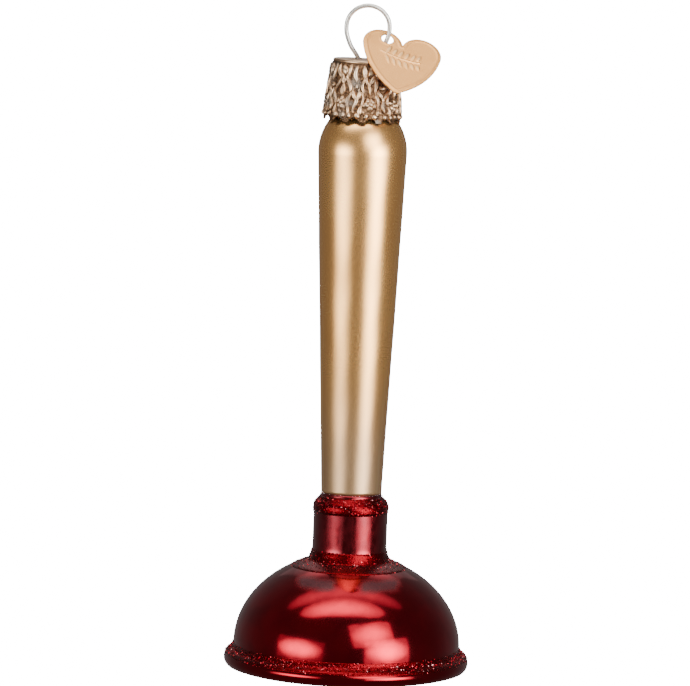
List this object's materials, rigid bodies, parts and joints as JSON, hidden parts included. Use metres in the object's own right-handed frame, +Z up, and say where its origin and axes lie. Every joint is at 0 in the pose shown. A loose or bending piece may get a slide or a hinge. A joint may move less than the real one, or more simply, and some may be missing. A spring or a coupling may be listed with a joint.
{
  "type": "plunger-shaped glass ornament",
  "caption": "Hanging blown-glass ornament shaped as a toilet plunger: satin gold handle, mirrored red cup, glitter bands, stamped crown cap, wire loop and heart tag.",
  "frame": {"origin": "on the axis, at the plane of the foot ring that the cup stands on", "axes": "+Z up along the handle's axis; the heart tag hangs towards +X and leans towards -Y, which is the front; the hanger loop's eye faces along Y"},
  "size_m": [0.0446, 0.0446, 0.1208],
  "materials": {
    "clear_glass": "clear blown glass, bare at the neck and the foot ring",
    "silvering": "bright chemical silvering on the inside",
    "gold_lacquer": "satin pearl gold lacquer over the silvered glass",
    "red_lacquer": "transparent glossy red lacquer over the silvered glass",
    "red_glitter": "fine red glitter in clear glue",
    "cap_brass": "antiqued rose-gold plating, dark in the hollows of the stamping",
    "spring_wire": "bright drawn spring wire",
    "tag_brass": "pale peach-gold satin sheet"
  },
  "bodies": {
    "glass": {"glass_body": "clear_glass", "silver_lining": "silvering", "handle_lacquer": "gold_lacquer", "cup_lacquer": "red_lacquer", "glitter_collar_top": "red_glitter", "glitter_collar_foot": "red_glitter", "glitter_rim": "red_glitter"},
    "cap": {"crown_cap": "cap_brass"},
    "hanger": {"hanger_wire": "spring_wire"},
    "tag": {"heart_tag": "tag_brass"}
  },
  "joints": [
    {"name": "cap_lift", "type": "slide", "parent": "glass", "child": "cap", "axis": [0, 0, 1], "range_m": [0, 0.016]},
    {"name": "hanger_rock", "type": "hinge", "parent": "cap", "child": "hanger", "pos_m": [0.00002, 0, 0.11048], "axis": [-0.9994, 0, 0.0349], "range_deg": [0, 16]},
    {"name": "tag_swing", "type": "hinge", "parent": "hanger", "child": "tag", "pos_m": [0.00378, -0.00076, 0.11441], "axis": [-0.9446, -0.3281, 0], "range_deg": [0, 65]}
  ]
}
